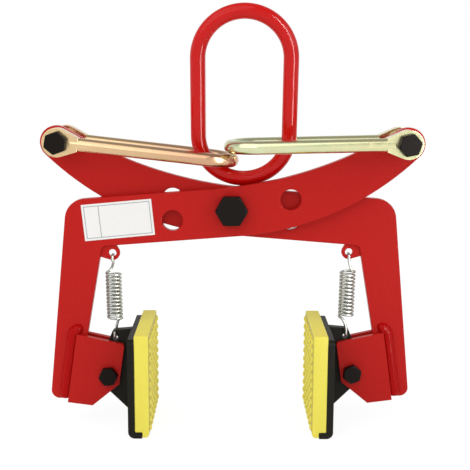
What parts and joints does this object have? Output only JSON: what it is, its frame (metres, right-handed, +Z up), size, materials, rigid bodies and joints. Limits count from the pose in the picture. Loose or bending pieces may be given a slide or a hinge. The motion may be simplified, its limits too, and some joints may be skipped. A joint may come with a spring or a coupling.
{
  "type": "scissor block lifting clamp",
  "caption": "Red scissor-arm lifting clamp with swivelling rubber-faced jaw pads, U-bent rod links and an oblong lifting ring for gripping kerbs and blocks.",
  "frame": {"origin": "on the floor under the pad carriers, midway between the jaws and between the two arm plates", "axes": "+X to the viewer's right along the jaws, +Y to the back along the pivot bolts, +Z up"},
  "size_m": [0.404, 0.1103, 0.4479],
  "materials": {
    "red_paint": "gloss red paint",
    "yellow_zinc": "yellow passivated zinc",
    "black_steel": "satin black",
    "yellow_pad": "moulded, bumped",
    "spring_steel": "bright spring wire"
  },
  "bodies": {
    "pivot": {"main_bolt": "black_steel", "main_washer": "black_steel", "main_nut": "black_steel"},
    "front_arm": {"front_arm": "red_paint", "left_front_cheek": "red_paint", "left_rear_cheek": "red_paint", "left_welds": "red_paint", "left_tab": "red_paint", "left_pad_bolt": "black_steel", "left_pad_nut": "black_steel", "left_spring": "spring_steel", "right_link_bolt": "black_steel", "right_link_nut": "black_steel", "right_link_spacers": "yellow_zinc"},
    "rear_arm": {"rear_arm": "red_paint", "right_front_cheek": "red_paint", "right_rear_cheek": "red_paint", "right_welds": "red_paint", "right_tab": "red_paint", "right_pad_bolt": "black_steel", "right_pad_nut": "black_steel", "right_spring": "spring_steel", "left_link_bolt": "black_steel", "left_link_nut": "black_steel", "left_link_spacers": "yellow_zinc"},
    "left_jaw": {"left_lug": "black_steel", "left_carrier": "black_steel", "left_pad": "yellow_pad"},
    "right_jaw": {"right_lug": "black_steel", "right_carrier": "black_steel", "right_pad": "yellow_pad"},
    "left_link": {"left_link": "yellow_zinc"},
    "right_link": {"right_link": "yellow_zinc"},
    "ring": {"lifting_ring": "red_paint"}
  },
  "joints": [
    {"name": "jaws", "type": "hinge", "parent": "pivot", "child": "front_arm", "pos_m": [0, 0, 0.236], "axis": [0, -1, 0], "range_deg": [-12.3, 10.3]},
    {"name": "rear_arm_swing", "type": "hinge", "parent": "pivot", "child": "rear_arm", "pos_m": [0, 0, 0.236], "axis": [0, -1, 0], "range_deg": [-10.32, 12.32]},
    {"name": "left_pad_swing", "type": "hinge", "parent": "front_arm", "child": "left_jaw", "pos_m": [-0.132, -0.0052, 0.056], "axis": [0, 1, 0], "range_deg": [0, 10], "stiffness_Nm_per_rad": 1, "springref_deg": -17.19, "deforming": ["left_spring"]},
    {"name": "right_pad_swing", "type": "hinge", "parent": "rear_arm", "child": "right_jaw", "pos_m": [0.132, 0.0052, 0.056], "axis": [0, -1, 0], "range_deg": [0, 10], "stiffness_Nm_per_rad": 1, "springref_deg": -17.19, "deforming": ["right_spring"]},
    {"name": "right_link_swing", "type": "hinge", "parent": "front_arm", "child": "right_link", "pos_m": [0.1795, -0.0052, 0.3075], "axis": [0, 1, 0], "range_deg": [-1.1, 0.93]},
    {"name": "left_link_swing", "type": "hinge", "parent": "rear_arm", "child": "left_link", "pos_m": [-0.1795, 0.0052, 0.3075], "axis": [0, -1, 0], "range_deg": [-1.1, 1.31]},
    {"name": "ring_ride", "type": "slide", "parent": "pivot", "child": "ring", "axis": [0.963, 0, -0.2696], "range_m": [-0.00577, 0.00483]}
  ],
  "couplings": [
    {"joint": "rear_arm_swing", "follows": "jaws", "ratio": -1},
    {"joint": "right_link_swing", "follows": "jaws", "ratio": 0.088},
    {"joint": "left_link_swing", "follows": "jaws", "ratio": -0.105},
    {"joint": "ring_ride", "follows": "jaws", "m_per_rad": 0.026775}
  ]
}
